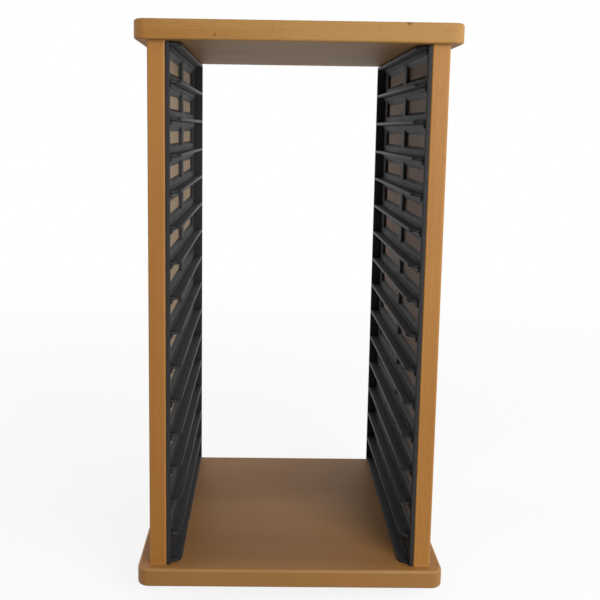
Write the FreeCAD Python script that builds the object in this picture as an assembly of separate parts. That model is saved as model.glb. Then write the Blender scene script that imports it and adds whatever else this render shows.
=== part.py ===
import FreeCAD, Part
import math
import os

Vector = FreeCAD.Vector

# Sizes in millimetres. +Z is up, -Y is the front and the origin is on the floor,
# below the middle of the tower.

# Wooden case
side_gap = 131.0
side_thickness = 9.0
side_depth = 150.0
side_height = 272.0
side_edge_radius = 1.0
panel_thickness = 10.0
panel_side_overhang = 6.25
panel_front_overhang = 5.0
panel_corner_radius = 6.0
panel_edge_radius = 1.5

# Moulded racks for the disc cases
slot_pitch = 18.2
rack_foot_height = 12.0
rack_plate_thickness = 2.0
rack_rib_reach = 5.4
rack_flange_thickness = 2.0
rack_top_gap = 0.5
rib_tip_thickness = 1.6
rib_root_thickness = 2.2
rib_step_drop = 1.7
rib_step_reach = 0.8
rib_nose_setback = 2.5
window_height = 8.0
window_sill = 3.1
window_top_slope = 2.9
front_window_margin = 4.0
front_window_length = 60.5
window_bar_width = 9.0
back_window_length = 65.0

# Countersunk screws that hold the racks
rack_screw_diameter = 2.8
rack_screw_head_diameter = 5.6
rack_screw_length = 8.0

# Countersunk screws from the base panel up into the side panels
base_screw_diameter = 3.5
base_screw_head_diameter = 7.0
base_screw_length = 35.0
base_screw_inset = 30.0

# Dowels between the side panels and the top panel
dowel_diameter = 5.0
dowel_length = 20.0
dowel_depth_in_top = 7.0
dowel_inset = 30.0
dowel_end_gap = 0.5

# Ball-bearing swivel under the base panel
swivel_width = 100.0
swivel_height = 8.0
swivel_corner_radius = 8.0
plate_gauge = 1.2
dish_depth = 1.0
dish_slope_width = 2.0
dish_margin = 7.0
mounting_hole_inset = 10.0
mounting_hole_diameter = 4.0
race_inset = 16.0
ball_diameter = 4.76
ball_count = 12
cage_width = 8.0
cage_thickness = 1.2
rivet_diameter = 12.0
rivet_bore = 9.6
rivet_flange_diameter = 17.0
rivet_flange_thickness = 0.8

# Pan-head screws that hold the swivel's upper plate
swivel_screw_diameter = 3.5
swivel_screw_head_diameter = 7.0
swivel_screw_head_height = 2.0
swivel_screw_crown_diameter = 4.2
swivel_screw_length = 8.0

# Rubber feet plugged into the swivel's lower plate
foot_height = 2.0
foot_diameter = 14.0
foot_edge_chamfer = 0.5
foot_plug_diameter = 6.4
foot_plug_height = 1.4

# Clearances
fixing_clearance = 0.1
pressed_clearance = 0.02
running_clearance = 0.08
ball_clearance = 0.03
pocket_clearance = 0.12

# Levels and places that follow from the sizes
base_bottom_z = foot_height + swivel_height
base_top_z = base_bottom_z + panel_thickness
top_bottom_z = base_top_z + side_height
panel_width = side_gap + 2 * side_thickness + 2 * panel_side_overhang
panel_depth = side_depth + panel_front_overhang
panel_front_y = -panel_depth / 2
back_y = panel_depth / 2
side_front_y = panel_front_y + panel_front_overhang
side_inner_x = side_gap / 2
side_middle_x = side_inner_x + side_thickness / 2
rack_plate_x = side_inner_x - rack_plate_thickness
rack_tip_x = rack_plate_x - rack_rib_reach
rack_top_z = top_bottom_z - rack_top_gap
slot_count = int((rack_top_z - base_top_z - rack_foot_height) // slot_pitch)
flange_front_y = back_y - rack_flange_thickness
front_window_y = side_front_y + front_window_margin
back_window_y = front_window_y + front_window_length + window_bar_width
rack_screw_y = back_window_y - window_bar_width / 2
swivel_middle_z = foot_height + swivel_height / 2
race_radius = swivel_width / 2 - race_inset
mounting_hole_reach = swivel_width / 2 - mounting_hole_inset
dish_radius = race_radius + dish_margin
ball_radius = ball_diameter / 2
rivet_radius = rivet_diameter / 2


def box(low, high):
    """Upright block between two corners."""
    size = [high[i] - low[i] for i in range(3)]
    return Part.makeBox(*size, Vector(*low))


def polygon_face(points):
    """Flat face with straight edges through the points."""
    return Part.Face(Part.makePolygon([Vector(*p) for p in points] + [Vector(*points[0])]))


def turned(points):
    """Solid of revolution about Z from (radius, height) points."""
    face = polygon_face([(r, 0, z) for r, z in points])
    return face.revolve(Vector(0, 0, 0), Vector(0, 0, 1), 360)


def edges_along(shape, axis):
    """Straight edges of the shape that run along X, Y or Z (0, 1 or 2)."""
    found = []
    for edge in shape.Edges:
        if isinstance(edge.Curve, Part.Line) and abs(abs(edge.Curve.Direction[axis]) - 1) < 1e-6:
            found.append(edge)
    return found


def group(solids):
    """Separate solids kept together as one piece of hardware."""
    return Part.makeCompound(solids)


def mirrored(shape):
    """The same piece for the other side of the tower."""
    return shape.mirror(Vector(0, 0, 0), Vector(1, 0, 0))


def countersunk_screw(diameter, head_diameter, length):
    """Screw with its flat head at z = 0 and its point down."""
    r = diameter / 2
    head_r = head_diameter / 2
    cone = head_r - r
    return turned([(0, 0), (head_r, 0), (r, -cone), (r, r - length), (0, -length)])


def countersunk_hole(diameter, head_diameter, length):
    """Space for a countersunk screw, down to the given length."""
    r = diameter / 2 + fixing_clearance
    head_r = head_diameter / 2 + fixing_clearance
    cone = head_r - r
    above = fixing_clearance
    points = [(0, above), (head_r, above), (head_r, 0), (r, -cone), (r, -length), (0, -length)]
    return turned(points)


def inward_turn(shape, place):
    """Turn a piece whose axis is Z so that it points from the inside into the right side panel."""
    copy = shape.copy()
    copy.rotate(Vector(0, 0, 0), Vector(0, 1, 0), -90)
    copy.translate(Vector(*place))
    return copy


def moved(shape, place):
    copy = shape.copy()
    copy.translate(Vector(*place))
    return copy


def rib_top(index):
    """Height of the top face of a rack rib, counted from the top."""
    return rack_top_z - index * slot_pitch


def rack_screw_places():
    """Head centres of the right rack's screws: in the bar between the windows of three slots."""
    places = []
    for slot in (1, slot_count // 2, slot_count - 2):
        z = rib_top(slot + 1) + window_sill + window_height / 2
        places.append((rack_plate_x, rack_screw_y, z))
    return places


def side_fixing_rows(inset):
    """The two depths at which a side panel is fixed to the top or base panel."""
    return (side_front_y + inset, back_y - inset)


def corner_places(z):
    """The swivel's four mounting corners at one height."""
    reach = mounting_hole_reach
    return [(x, y, z) for y in (-reach, reach) for x in (-reach, reach)]


def panel(bottom_z):
    """Top or base board with rounded plan corners and eased edges."""
    low = (-panel_width / 2, panel_front_y, bottom_z)
    high = (panel_width / 2, back_y, bottom_z + panel_thickness)
    board = box(low, high)
    board = board.makeFillet(panel_corner_radius, edges_along(board, 2))
    level_edges = [edge for edge in board.Edges if edge.BoundBox.ZLength < 1e-6]
    return board.makeFillet(panel_edge_radius, level_edges)


def top_panel():
    board = panel(top_bottom_z)
    hole_r = dowel_diameter / 2 + fixing_clearance
    hole_depth = dowel_depth_in_top + dowel_end_gap
    holes = []
    for x in (-side_middle_x, side_middle_x):
        for y in side_fixing_rows(dowel_inset):
            holes.append(Part.makeCylinder(hole_r, hole_depth, Vector(x, y, top_bottom_z)))
    return board.cut(holes)


def base_panel():
    board = panel(base_bottom_z)
    screw_hole = countersunk_hole(base_screw_diameter, base_screw_head_diameter, panel_thickness)
    screw_hole.rotate(Vector(0, 0, 0), Vector(1, 0, 0), 180)
    holes = []
    for x in (-side_middle_x, side_middle_x):
        for y in side_fixing_rows(base_screw_inset):
            holes.append(moved(screw_hole, (x, y, base_bottom_z)))
    pilot_depth = swivel_screw_length - plate_gauge + fixing_clearance
    for place in corner_places(base_bottom_z):
        pilot_r = swivel_screw_diameter / 2 + pressed_clearance
        holes.append(Part.makeCylinder(pilot_r, pilot_depth, Vector(*place)))
    return board.cut(holes)


def right_side_panel():
    low = (side_inner_x, side_front_y, base_top_z)
    high = (side_inner_x + side_thickness, back_y, top_bottom_z)
    board = box(low, high)
    board = board.makeFillet(side_edge_radius, edges_along(board, 2))
    holes = []
    screw_r = base_screw_diameter / 2 + pressed_clearance
    screw_depth = base_screw_length - panel_thickness + fixing_clearance
    for y in side_fixing_rows(base_screw_inset):
        holes.append(Part.makeCylinder(screw_r, screw_depth, Vector(side_middle_x, y, base_top_z)))
    dowel_r = dowel_diameter / 2 + fixing_clearance
    dowel_depth = dowel_length - dowel_depth_in_top + dowel_end_gap
    for y in side_fixing_rows(dowel_inset):
        foot = Vector(side_middle_x, y, top_bottom_z - dowel_depth)
        holes.append(Part.makeCylinder(dowel_r, dowel_depth, foot))
    pilot_r = rack_screw_diameter / 2 + pressed_clearance
    pilot_depth = rack_screw_length - rack_plate_thickness + fixing_clearance
    for _, y, z in rack_screw_places():
        holes.append(Part.makeCylinder(pilot_r, pilot_depth, Vector(side_inner_x, y, z), Vector(1, 0, 0)))
    return board.cut(holes)


def along_depth(section):
    """Bar along the whole depth of the rack from the (x, z) points of its section."""
    face = polygon_face([(x, side_front_y, z) for x, z in section])
    return face.extrude(Vector(0, flange_front_y - side_front_y, 0))


def case_rib_section(top_z):
    """Level top for the case to lie on and a drafted underside."""
    return [(rack_plate_x, top_z), (rack_tip_x, top_z),
            (rack_tip_x, top_z - rib_tip_thickness), (rack_plate_x, top_z - rib_root_thickness)]


def root_step_section(top_z):
    """Small step on the plate that backs a rib from below."""
    step_x = rack_plate_x - rib_step_reach
    draft = (rib_root_thickness - rib_tip_thickness) / rack_rib_reach
    root_z = top_z - rib_root_thickness
    low_z = root_z - rib_step_drop
    return [(rack_plate_x, root_z), (step_x, root_z + draft * rib_step_reach),
            (step_x, low_z), (rack_plate_x, low_z)]


def foot_rib_section():
    """Plain rib that stands on the base panel."""
    top_z = base_top_z + rib_tip_thickness
    return [(rack_plate_x, top_z), (rack_tip_x, top_z), (rack_tip_x, base_top_z), (rack_plate_x, base_top_z)]


def rib_outline():
    """Upright block that gives every rib its quarter-round nose, seen from above."""
    nose_y = side_front_y + rib_nose_setback
    start = Vector(rack_plate_x, nose_y, base_top_z)
    end = Vector(rack_tip_x, nose_y + rack_rib_reach, base_top_z)
    lean = rack_rib_reach * math.sqrt(0.5)
    middle = Vector(rack_plate_x - lean, end.y - lean, base_top_z)
    back_tip = Vector(rack_tip_x, flange_front_y, base_top_z)
    back_root = Vector(rack_plate_x, flange_front_y, base_top_z)
    outline = Part.Wire([
        Part.Arc(start, middle, end).toShape(),
        Part.makeLine(end, back_tip),
        Part.makeLine(back_tip, back_root),
        Part.makeLine(back_root, start),
    ])
    return Part.Face(outline).extrude(Vector(0, 0, side_height))


def rib_levels():
    """Top faces of the ribs, from the highest down: one above and one below every slot."""
    return [rib_top(index) for index in range(slot_count + 1)]


def window_section(low_z):
    """Level sill and a top that slopes up towards the slot."""
    high_z = low_z + window_height
    return [(side_inner_x, low_z), (rack_plate_x, low_z),
            (rack_plate_x, high_z + window_top_slope), (side_inner_x, high_z)]


def right_rack():
    """Moulded plate with two windows in every slot and a step under every rib."""
    plate = box((rack_plate_x, side_front_y, base_top_z), (side_inner_x, back_y, rack_top_z))
    windows = []
    for slot in range(slot_count):
        section = window_section(rib_top(slot + 1) + window_sill)
        for y, length in ((front_window_y, front_window_length), (back_window_y, back_window_length)):
            face = polygon_face([(x, y, z) for x, z in section])
            windows.append(face.extrude(Vector(0, length, 0)))
    screw_hole = countersunk_hole(rack_screw_diameter, rack_screw_head_diameter, rack_plate_thickness)
    screw_holes = [inward_turn(screw_hole, place) for place in rack_screw_places()]
    outline = rib_outline()
    steps = [along_depth(root_step_section(top_z)).common(outline) for top_z in rib_levels()]
    return plate.cut(windows + screw_holes).fuse(steps).removeSplitter()


def right_rack_ribs():
    """Ribs that carry the cases, the foot rib and the stop flange at the back."""
    outline = rib_outline()
    sections = [case_rib_section(top_z) for top_z in rib_levels()] + [foot_rib_section()]
    ribs = [along_depth(section).common(outline) for section in sections]
    flange = box((rack_tip_x, flange_front_y, base_top_z), (rack_plate_x, back_y, rack_top_z))
    return group(ribs + [flange])


def right_rack_screws():
    screw = countersunk_screw(rack_screw_diameter, rack_screw_head_diameter, rack_screw_length)
    return group([inward_turn(screw, place) for place in rack_screw_places()])


def right_top_dowels():
    low_z = top_bottom_z - (dowel_length - dowel_depth_in_top)
    dowels = []
    for y in side_fixing_rows(dowel_inset):
        foot = Vector(side_middle_x, y, low_z)
        dowels.append(Part.makeCylinder(dowel_diameter / 2, dowel_length, foot))
    return group(dowels)


def right_base_screws():
    screw = countersunk_screw(base_screw_diameter, base_screw_head_diameter, base_screw_length)
    screw.rotate(Vector(0, 0, 0), Vector(1, 0, 0), 180)
    places = [(side_middle_x, y, base_bottom_z) for y in side_fixing_rows(base_screw_inset)]
    return group([moved(screw, place) for place in places])


def race_halves(clear_r, height):
    """Half widths of a groove around the balls: at its flat bottom and at its mouth.

    The groove's section is half an octagon around a circle of the given radius,
    and its mouth lies at this height above the middle of the balls.
    """
    return clear_r * math.tan(math.pi / 8), clear_r * math.sqrt(2) - height


def swivel_plate(centre_hole_r):
    """Pressed upper plate: square rim, dished middle and a groove for the balls."""
    rim_top = base_bottom_z
    rim_low = rim_top - plate_gauge
    dish_top = rim_top - dish_depth
    dish_low = dish_top - plate_gauge
    groove_r = ball_radius + ball_clearance
    crown_r = groove_r + plate_gauge
    groove_flat, groove_mouth = race_halves(groove_r, dish_low - swivel_middle_z)
    crown_flat, crown_foot = race_halves(crown_r, dish_top - swivel_middle_z)
    slope_shift = plate_gauge * math.tan(math.atan2(dish_depth, dish_slope_width) / 2)
    slope_r = dish_radius + dish_slope_width
    rim_r = slope_r + plate_gauge
    middle = turned([
        (centre_hole_r, dish_low),
        (race_radius - groove_mouth, dish_low),
        (race_radius - groove_flat, swivel_middle_z + groove_r),
        (race_radius + groove_flat, swivel_middle_z + groove_r),
        (race_radius + groove_mouth, dish_low),
        (dish_radius, dish_low),
        (slope_r, rim_low),
        (rim_r, rim_low),
        (rim_r, rim_top),
        (slope_r - slope_shift, rim_top),
        (dish_radius - slope_shift, dish_top),
        (race_radius + crown_foot, dish_top),
        (race_radius + crown_flat, swivel_middle_z + crown_r),
        (race_radius - crown_flat, swivel_middle_z + crown_r),
        (race_radius - crown_foot, dish_top),
        (centre_hole_r, dish_top),
    ])
    half = swivel_width / 2
    rim = box((-half, -half, rim_low), (half, half, rim_top))
    rim = rim.makeFillet(swivel_corner_radius, edges_along(rim, 2))
    rim = rim.cut(Part.makeCylinder(rim_r, plate_gauge, Vector(0, 0, rim_low)))
    plate = rim.fuse(middle).removeSplitter()
    hole_r = mounting_hole_diameter / 2
    holes = [Part.makeCylinder(hole_r, plate_gauge, Vector(*place)) for place in corner_places(rim_low)]
    return plate.cut(holes)


def swivel_upper_plate():
    return swivel_plate(rivet_radius + running_clearance)


def swivel_lower_plate():
    """The same pressing upside down, with the rivet tight in its centre hole."""
    plate = swivel_plate(rivet_radius + pressed_clearance)
    return plate.mirror(Vector(0, 0, swivel_middle_z), Vector(0, 0, 1))


def swivel_rivet():
    """Hollow rivet, set in the lower plate, that keeps the upper plate from lifting off."""
    low_seat = foot_height + dish_depth
    high_seat = base_bottom_z - dish_depth + running_clearance
    flange_r = rivet_flange_diameter / 2
    return turned([
        (rivet_bore / 2, low_seat - rivet_flange_thickness),
        (flange_r, low_seat - rivet_flange_thickness),
        (flange_r, low_seat),
        (rivet_radius, low_seat),
        (rivet_radius, high_seat),
        (flange_r, high_seat),
        (flange_r, high_seat + rivet_flange_thickness),
        (rivet_bore / 2, high_seat + rivet_flange_thickness),
    ])


def ball_places():
    places = []
    for i in range(ball_count):
        angle = 2 * math.pi * i / ball_count
        places.append(Vector(race_radius * math.cos(angle), race_radius * math.sin(angle), swivel_middle_z))
    return places


def ball_cage():
    """Flat ring with a pocket for every ball."""
    low_z = swivel_middle_z - cage_thickness / 2
    ring = Part.makeCylinder(race_radius + cage_width / 2, cage_thickness, Vector(0, 0, low_z))
    holes = [Part.makeCylinder(race_radius - cage_width / 2, cage_thickness, Vector(0, 0, low_z))]
    for place in ball_places():
        pocket_foot = Vector(place.x, place.y, low_z)
        holes.append(Part.makeCylinder(ball_radius + pocket_clearance, cage_thickness, pocket_foot))
    return ring.cut(holes)


def bearing_balls():
    return group([Part.makeSphere(ball_radius, place) for place in ball_places()])


def swivel_screws():
    """Pan-head screws with their heads under the upper plate."""
    head_r = swivel_screw_head_diameter / 2
    r = swivel_screw_diameter / 2
    seat = -plate_gauge
    crown = seat - swivel_screw_head_height
    tip = seat + swivel_screw_length
    shoulder = seat - swivel_screw_head_height / 2
    crown_r = swivel_screw_crown_diameter / 2
    screw = turned([
        (0, crown),
        (crown_r, crown),
        (head_r, shoulder),
        (head_r, seat),
        (r, seat),
        (r, tip - r),
        (0, tip),
    ])
    return group([moved(screw, place) for place in corner_places(base_bottom_z)])


def rubber_foot(place):
    """Round foot with a plug that goes up through the lower plate and snaps over it."""
    r = foot_diameter / 2
    stem_r = mounting_hole_diameter / 2 - pressed_clearance
    plug_r = foot_plug_diameter / 2
    plate_top = foot_height + plate_gauge
    plug_top = plate_top + foot_plug_height
    foot = turned([
        (0, 0),
        (r - foot_edge_chamfer, 0),
        (r, foot_edge_chamfer),
        (r, foot_height),
        (stem_r, foot_height),
        (stem_r, plate_top),
        (plug_r, plate_top),
        (stem_r, plug_top),
        (0, plug_top),
    ])
    return moved(foot, place)


def pieces():
    """Every piece of the tower under its own name."""
    made = {
        "top_panel": top_panel(),
        "base_panel": base_panel(),
        "swivel_upper_plate": swivel_upper_plate(),
        "swivel_lower_plate": swivel_lower_plate(),
        "swivel_rivet": swivel_rivet(),
        "ball_cage": ball_cage(),
        "bearing_balls": bearing_balls(),
        "swivel_screws": swivel_screws(),
    }
    paired = {
        "side_panel": right_side_panel(),
        "rack": right_rack(),
        "rack_ribs": right_rack_ribs(),
        "rack_screws": right_rack_screws(),
        "top_dowels": right_top_dowels(),
        "base_screws": right_base_screws(),
    }
    for name, shape in paired.items():
        made["right_" + name] = shape
        made["left_" + name] = mirrored(shape)
    corner_names = ("front_left", "front_right", "back_left", "back_right")
    for name, place in zip(corner_names, corner_places(0)):
        made[name + "_foot"] = rubber_foot(place)
    return made


os.makedirs("parts", exist_ok=True)
for name, shape in pieces().items():
    shape.exportStep("parts/" + name + ".step")
    print(name, len(shape.Solids), round(shape.Volume, 1), shape.isValid())
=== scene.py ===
# %% [markdown]
# # A disc tower that turns on its base
#
# The real object is a small rack for disc cases: four boards of honey-stained beech, two black
# moulded racks screwed to the inner faces of the sides, and a flat ball-bearing swivel hidden under
# the base. The solid model already has every piece at its place, in metres. This lesson dresses it:
# the boards, the swivel and the dowels stay as they are and get a finish, while the racks, screws
# and feet are replaced by finer surfaces that numpy works out.

# %% Load the solid model
import math

import bmesh
import bpy
import numpy as np
from mathutils import Matrix, Vector


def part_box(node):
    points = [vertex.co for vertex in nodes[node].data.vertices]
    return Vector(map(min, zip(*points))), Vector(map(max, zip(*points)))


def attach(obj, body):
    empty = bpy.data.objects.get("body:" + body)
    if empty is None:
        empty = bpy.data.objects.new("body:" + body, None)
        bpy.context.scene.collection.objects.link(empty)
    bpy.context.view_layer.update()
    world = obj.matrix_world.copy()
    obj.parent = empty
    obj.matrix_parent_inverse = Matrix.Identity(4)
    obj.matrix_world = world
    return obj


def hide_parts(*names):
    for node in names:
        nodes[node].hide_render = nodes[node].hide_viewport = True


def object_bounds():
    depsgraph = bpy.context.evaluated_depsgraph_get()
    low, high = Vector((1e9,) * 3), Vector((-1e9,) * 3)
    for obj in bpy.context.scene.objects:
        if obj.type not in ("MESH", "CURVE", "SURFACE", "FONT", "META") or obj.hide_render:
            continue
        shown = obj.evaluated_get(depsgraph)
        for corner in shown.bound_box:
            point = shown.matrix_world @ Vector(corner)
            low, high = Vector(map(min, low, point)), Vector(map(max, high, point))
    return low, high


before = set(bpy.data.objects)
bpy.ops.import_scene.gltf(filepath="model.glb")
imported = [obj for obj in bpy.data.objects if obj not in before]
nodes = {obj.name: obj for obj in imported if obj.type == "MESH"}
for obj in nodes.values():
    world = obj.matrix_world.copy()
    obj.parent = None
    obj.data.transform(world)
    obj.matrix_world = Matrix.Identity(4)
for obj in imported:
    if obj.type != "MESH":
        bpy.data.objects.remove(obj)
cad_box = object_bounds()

MM = 0.001
size_mm = [round((high - low) / MM) for low, high in zip(*cad_box)]
print("solids loaded:", len(nodes), "box in mm:", size_mm)

# %% [markdown]
# ## The camera
#
# The photograph was taken from a little left of the middle, level with the upper third of the tower,
# and then cropped, so the lens's axis isn't in the middle of the picture. A shift moves the frame the
# way the crop did, without bending any edge. Of its upright part only half is kept, because every
# other view has the same shift and would cut the tower. The three angles were found by fitting the
# edges of the boards; the camera's axes are built from them directly, which is plainer than three
# rotations.

# %% Camera
camera_place = Vector((-0.01587, -0.49421, 0.24918))
yaw, pitch, roll = 0.0120, -0.1360, 0.0142
ahead = Vector((math.sin(yaw) * math.cos(pitch), math.cos(yaw) * math.cos(pitch), math.sin(pitch)))
level_right = Vector((math.cos(yaw), -math.sin(yaw), 0))
level_up = level_right.cross(ahead)
camera_right = level_right * math.cos(roll) + level_up * math.sin(roll)
camera_up = level_up * math.cos(roll) - level_right * math.sin(roll)
camera_axes = Matrix((camera_right, camera_up, -ahead)).transposed().to_4x4()

lens = bpy.data.cameras.new("studio_lens")
lens.sensor_width = 36
lens.lens = 50.65
lens.shift_x, lens.shift_y = 0.0429, -0.09
lens.clip_start, lens.clip_end = 0.01, 50
camera = bpy.data.objects.new("studio_camera", lens)
camera.matrix_world = Matrix.Translation(camera_place) @ camera_axes
bpy.context.collection.objects.link(camera)
bpy.context.scene.camera = camera
bpy.context.scene.view_settings.view_transform = "Standard"
print("camera looks down by", round(math.degrees(-pitch), 1), "degrees")

# %% [markdown]
# ## Two small helpers for finishes
#
# Every finish is a tree of nodes. One function adds a node with its settings and links, so a tree
# reads as a list of what goes into what. Colours are written as the hex codes one sees on a screen,
# and Blender reckons in linear light, so a second function turns one into the other.

# %% Node helpers
def add(tree, kind, inputs=None, **settings):
    """Add a node: settings are its own options, inputs are values or outputs for its sockets."""
    made = tree.nodes.new(kind)
    for option, value in settings.items():
        setattr(made, option, value)
    for socket, value in (inputs or {}).items():
        if isinstance(value, bpy.types.NodeSocket):
            tree.links.new(value, made.inputs[socket])
        else:
            made.inputs[socket].default_value = value
    return made


def colour(hex_code):
    """Linear colour of an sRGB hex code: ((c + 0.055) / 1.055) ** 2.4, or c / 12.92 where dark."""
    shown = np.array([int(hex_code[i:i + 2], 16) for i in (1, 3, 5)]) / 255
    linear = np.where(shown > 0.04045, ((shown + 0.055) / 1.055) ** 2.4, shown / 12.92)
    return (*linear.tolist(), 1.0)


print("mid grey in linear light:", round(colour("#808080")[0], 3))

# %% [markdown]
# ## The room
#
# The tower stands on white paper in front of a white wall. A white picture could be had with more
# light, but that would bleach the wood, so only what the camera or a reflection sees of the paper
# and the wall is set to white, and the light that falls on the tower stays at a plain level. In a
# reflection the wall behind the tower is white, and the room on the camera's side is dimmer, as a
# real room is.

# %% World
sky_light, room_light = 0.32, 0.35
# a reflection's way along Y: the room is dim up to the first, and the wall white from the second
dim_until, white_from = -0.6, 0.2
world = bpy.data.worlds.new("white_room")
bpy.context.scene.world = world
world.use_nodes = True
tree = world.node_tree
tree.nodes.clear()
ray = add(tree, "ShaderNodeLightPath").outputs
direction = add(tree, "ShaderNodeTexCoord").outputs["Generated"]
backward = add(tree, "ShaderNodeSeparateXYZ", {0: direction}).outputs["Y"]
reflected = add(tree, "ShaderNodeMapRange", {"Value": backward, "From Min": dim_until,
                                             "From Max": white_from, "To Min": room_light})
unseen = add(tree, "ShaderNodeMix", {"Factor": ray["Is Glossy Ray"], "A": sky_light,
                                     "B": reflected.outputs[0]})
seen = add(tree, "ShaderNodeMath", {0: ray["Is Camera Ray"], 1: ray["Is Transmission Ray"]},
           operation="MAXIMUM")
strength = add(tree, "ShaderNodeMix", {"Factor": seen.outputs[0], "A": unseen.outputs[0], "B": 1.0})
wall = add(tree, "ShaderNodeBackground", {"Color": colour("#ffffff"),
                                          "Strength": strength.outputs[0]})
add(tree, "ShaderNodeOutputWorld", {"Surface": wall.outputs[0]})
print("sky light", sky_light, "room in reflections", room_light)

# %% [markdown]
# ## The paper floor
#
# The paper is matt and carries the tower's shadow. A plane would do, but a wide disc has no corner
# that some view could catch, and it needs the same two helpers as the turned pieces further down: one
# that turns an outline round the upright axis, and one that joins a grid's points into faces. Near
# the tower the paper keeps the shadow, and further out it fades into the white wall.

# %% Paper floor
def turned(outline, spokes):
    """Outline (radius r, height h) turned once round: (r cos a, r sin a, h) for each angle a."""
    radius, height = np.array(outline, float).T[:, :, None]
    angle = np.linspace(0, 2 * np.pi, spokes + 1)[:-1]
    return np.stack([radius * np.cos(angle), radius * np.sin(angle), height + 0 * angle], axis=-1)


def grid_faces(rows, columns):
    """Quads of a grid whose rows are closed: corners (i, j), (i, j+1), (i+1, j+1) and (i+1, j)."""
    i, j = np.meshgrid(np.arange(rows - 1), np.arange(columns), indexing="ij")
    k = (j + 1) % columns
    corners = [i * columns + j, i * columns + k, (i + 1) * columns + k, (i + 1) * columns + j]
    return np.stack(corners, axis=-1).reshape(-1, 4)


paper_radius, paper_drop, paper_rings, paper_spokes = 3.0, 0.0001, 6, 64
paper_outline = [(radius, -paper_drop) for radius in np.linspace(0, paper_radius, paper_rings)]
paper_grid = turned(paper_outline, paper_spokes)
paper_mesh = bpy.data.meshes.new("paper_floor")
paper_mesh.from_pydata(paper_grid.reshape(-1, 3), [], grid_faces(*paper_grid.shape[:2]).tolist())
floor = bpy.data.objects.new("paper_floor", paper_mesh)
bpy.context.collection.objects.link(floor)
print("paper floor of", len(paper_mesh.polygons), "faces")

# %% Paper finish
shadow_reach, white_reach, shadow_white = 0.25, 1.0, 0.85
paper = bpy.data.materials.new("white_paper")
paper.use_nodes = True
tree = paper.node_tree
tree.nodes.clear()
ray = add(tree, "ShaderNodeLightPath").outputs
seen = ray["Is Camera Ray"]
for kind in ("Is Glossy Ray", "Is Transmission Ray"):
    seen = add(tree, "ShaderNodeMath", {0: seen, 1: ray[kind]}, operation="MAXIMUM").outputs[0]
place = add(tree, "ShaderNodeTexCoord").outputs["Object"]
reach = add(tree, "ShaderNodeVectorMath", {0: place}, operation="LENGTH")
fade = add(tree, "ShaderNodeMapRange", {"Value": reach.outputs["Value"], "From Min": shadow_reach,
                                        "From Max": white_reach, "To Min": shadow_white})
share = add(tree, "ShaderNodeMath", {0: fade.outputs[0], 1: seen}, operation="MULTIPLY")
# what it throws back on to the tower is grey, so that the boards' undersides stay dark
tone = add(tree, "ShaderNodeMix", {"Factor": seen, "A": colour("#787878"), "B": colour("#ffffff")},
           data_type="RGBA")
matt = add(tree, "ShaderNodeBsdfDiffuse", {"Color": tone.outputs["Result"]})
glow = add(tree, "ShaderNodeEmission", {"Color": colour("#ffffff"), "Strength": 1.0})
both = add(tree, "ShaderNodeMixShader", {0: share.outputs[0], 1: matt.outputs[0], 2: glow.outputs[0]})
add(tree, "ShaderNodeOutputMaterial", {"Surface": both.outputs[0]})
paper_mesh.materials.append(paper)
print("paper turns white", white_reach, "m from the tower")

# %% [markdown]
# ## Softboxes
#
# A soft sky lights the tower from all round. To it comes a softbox beside the camera on its right,
# where the photograph's light comes from, and fainter ones at both sides and behind, so that no side
# is left dark. Point lamps would give hard shadows, so each lamp is a square area light.

# %% Softboxes
def softbox(name, place, target, size, power, in_gloss=True):
    """Square area light that faces a point; power is in watts, in_gloss lets reflections show it."""
    lamp = bpy.data.lights.new(name, "AREA")
    lamp.size, lamp.energy = size, power
    light = bpy.data.objects.new(name, lamp)
    light.location = place
    light.visible_camera, light.visible_glossy = False, in_gloss
    light.rotation_euler = (Vector(target) - Vector(place)).to_track_quat("-Z", "Y").to_euler()
    bpy.context.collection.objects.link(light)
    return light


upper_tower, middle_tower = (0, 0, 0.18), (0, 0, 0.15)
lamps = [softbox("right_softbox", (0.31, -0.56, 0.335), upper_tower, 0.34, 3.45),
         softbox("left_softbox", (-1.30, 0.15, 0.50), middle_tower, 0.8, 6.0),
         softbox("far_right_softbox", (1.30, 0.15, 0.50), middle_tower, 0.8, 6.0),
         softbox("back_softbox", (0, 1.25, 0.16), middle_tower, 0.8, 5.0, in_gloss=False)]
print("softboxes at", [[round(x, 2) for x in light.location] for light in lamps])

# %% [markdown]
# ## What every finish has
#
# Wood, plastic, metal and rubber all use one Principled shader, with a colour, a roughness and a bump
# that change over the surface. Sockets that are the same all over are set on the shader itself. Two
# helpers do this, so that each finish below only says what is its own.

# %% Finish helpers
linked_sockets = ("Base Color", "Roughness", "Normal")


def finish(name, fixed):
    """Material with one Principled shader; fixed gives the sockets that are the same all over."""
    material = bpy.data.materials.new(name)
    material.use_nodes = True
    tree = material.node_tree
    tree.nodes.clear()
    shader = add(tree, "ShaderNodeBsdfPrincipled", fixed)
    add(tree, "ShaderNodeOutputMaterial", {"Surface": shader.outputs[0]})
    return material, tree, shader


def dress(tree, shader, tint, gloss, height, strength, depth):
    """Link a colour and a roughness, and a height pattern as a bump of a given depth in mm."""
    bump = add(tree, "ShaderNodeBump", {"Strength": strength, "Distance": depth * MM,
                                        "Height": height})
    for socket, value in zip(linked_sockets, (tint, gloss, bump.outputs[0])):
        tree.links.new(value, shader.inputs[socket])


print("every finish links:", ", ".join(linked_sockets))
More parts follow.
